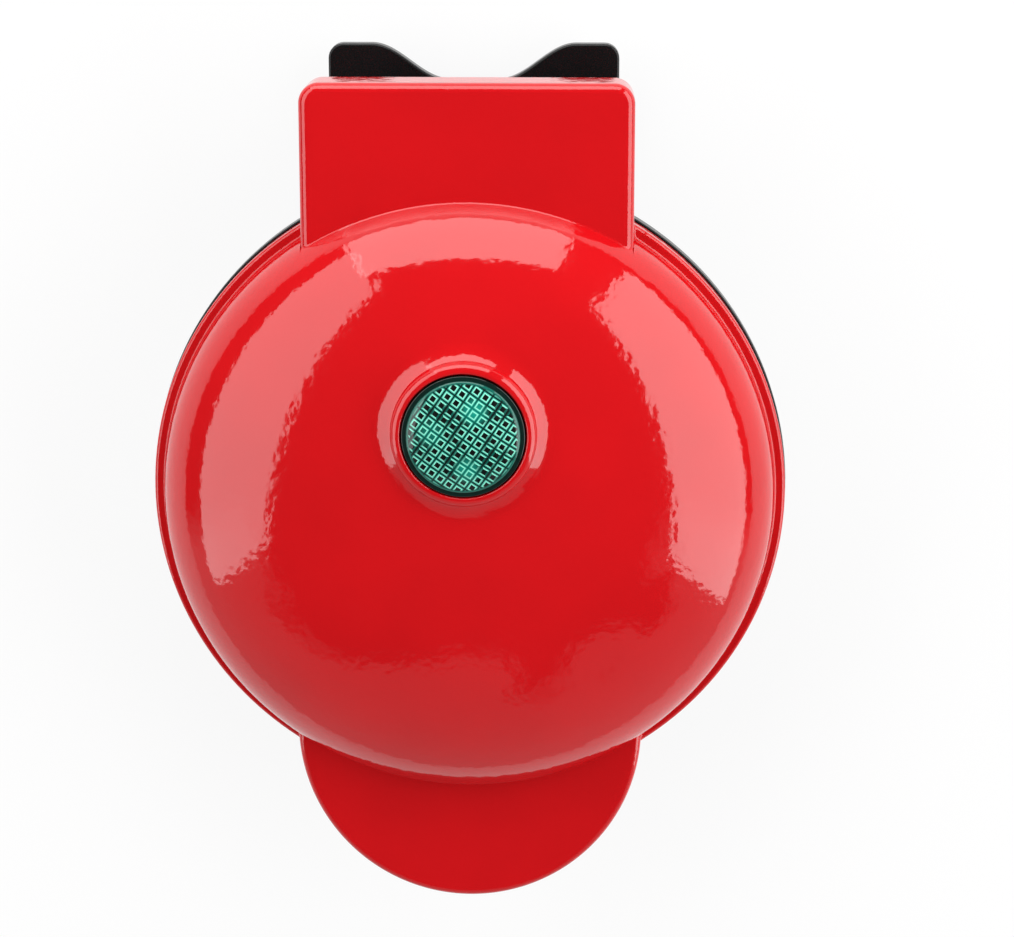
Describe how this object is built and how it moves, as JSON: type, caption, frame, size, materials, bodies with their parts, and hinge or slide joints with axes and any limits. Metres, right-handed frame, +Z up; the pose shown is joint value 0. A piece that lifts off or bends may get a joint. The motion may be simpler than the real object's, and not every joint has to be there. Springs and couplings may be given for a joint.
{
  "type": "mini donut maker",
  "caption": "Small hinged countertop cooker with a red domed lid, an indicator lens, a black bowl-shaped base and baking plates with ring cavities.",
  "frame": {"origin": "centre of the disc, on the surface that the feet stand on", "axes": "+Z up, -Y towards the handle, +Y towards the hinge, X along the hinge axis"},
  "size_m": [0.1278, 0.1732, 0.07],
  "materials": {
    "red_gloss_moulding": "red injection-moulded plastic with a polished gloss",
    "black_moulding": "black heat-resistant plastic, satin",
    "nonstick_casting": "die-cast aluminium with a dark non-stick coating",
    "heater_steel": "annealed steel heater sheath, oxidised",
    "aluminised_sheet": "aluminised steel sheet, bright",
    "zinc_steel": "zinc-plated steel",
    "green_lens": "tinted green moulded plastic with a prism pattern",
    "lamp_glass": "neon lamp glass",
    "white_ceramic": "white steatite ceramic",
    "black_rubber": "black moulded rubber, matt",
    "glass_fibre_sleeve": "braided glass-fibre sleeve"
  },
  "bodies": {
    "base": {"base_housing": "black_moulding", "base_liner": "black_moulding", "lower_donut_plate": "nonstick_casting", "lower_heating_element": "heater_steel", "lower_reflector_pan": "aluminised_sheet", "thermostat": "white_ceramic", "thermal_fuse": "glass_fibre_sleeve", "fuse_clip": "zinc_steel", "terminal_block": "white_ceramic", "cord_inlet_bush": "black_rubber", "cord_wrap_plate": "black_moulding", "hinge_pin": "zinc_steel", "pin_clip_left": "zinc_steel", "pin_clip_right": "zinc_steel", "foot_1": "black_rubber", "foot_2": "black_rubber", "foot_3": "black_rubber", "foot_4": "black_rubber", "lead_block_to_element": "glass_fibre_sleeve", "lead_block_to_fuse": "glass_fibre_sleeve", "lead_fuse_to_thermostat": "glass_fibre_sleeve", "lead_thermostat_to_element": "glass_fibre_sleeve", "hinge_lead_left": "glass_fibre_sleeve", "hinge_lead_right": "glass_fibre_sleeve", "lower_plate_screw_1": "zinc_steel", "lower_plate_screw_2": "zinc_steel", "lower_plate_screw_3": "zinc_steel", "lower_plate_screw_4": "zinc_steel", "base_screw_1": "zinc_steel", "base_screw_2": "zinc_steel", "base_screw_3": "zinc_steel", "base_screw_4": "zinc_steel", "cord_wrap_screw_1": "zinc_steel", "cord_wrap_screw_2": "zinc_steel"},
    "lid": {"lid_cover": "red_gloss_moulding", "lid_liner": "black_moulding", "upper_donut_plate": "nonstick_casting", "upper_heating_element": "heater_steel", "upper_reflector_pan": "aluminised_sheet", "indicator_lens": "green_lens", "lens_retainer": "zinc_steel", "lamp_holder": "white_ceramic", "indicator_lamp": "lamp_glass", "lid_lead_left": "glass_fibre_sleeve", "lid_lead_right": "glass_fibre_sleeve", "lamp_lead_left": "glass_fibre_sleeve", "lamp_lead_right": "glass_fibre_sleeve", "upper_plate_screw_1": "zinc_steel", "upper_plate_screw_2": "zinc_steel", "upper_plate_screw_3": "zinc_steel", "upper_plate_screw_4": "zinc_steel", "lid_screw_1": "zinc_steel", "lid_screw_2": "zinc_steel", "lid_screw_3": "zinc_steel", "lid_screw_4": "zinc_steel"}
  },
  "joints": [
    {"name": "lid_hinge", "type": "hinge", "parent": "base", "child": "lid", "pos_m": [0, 0.072, 0.0405], "axis": [-1, 0, 0], "range_deg": [0, 95]}
  ]
}
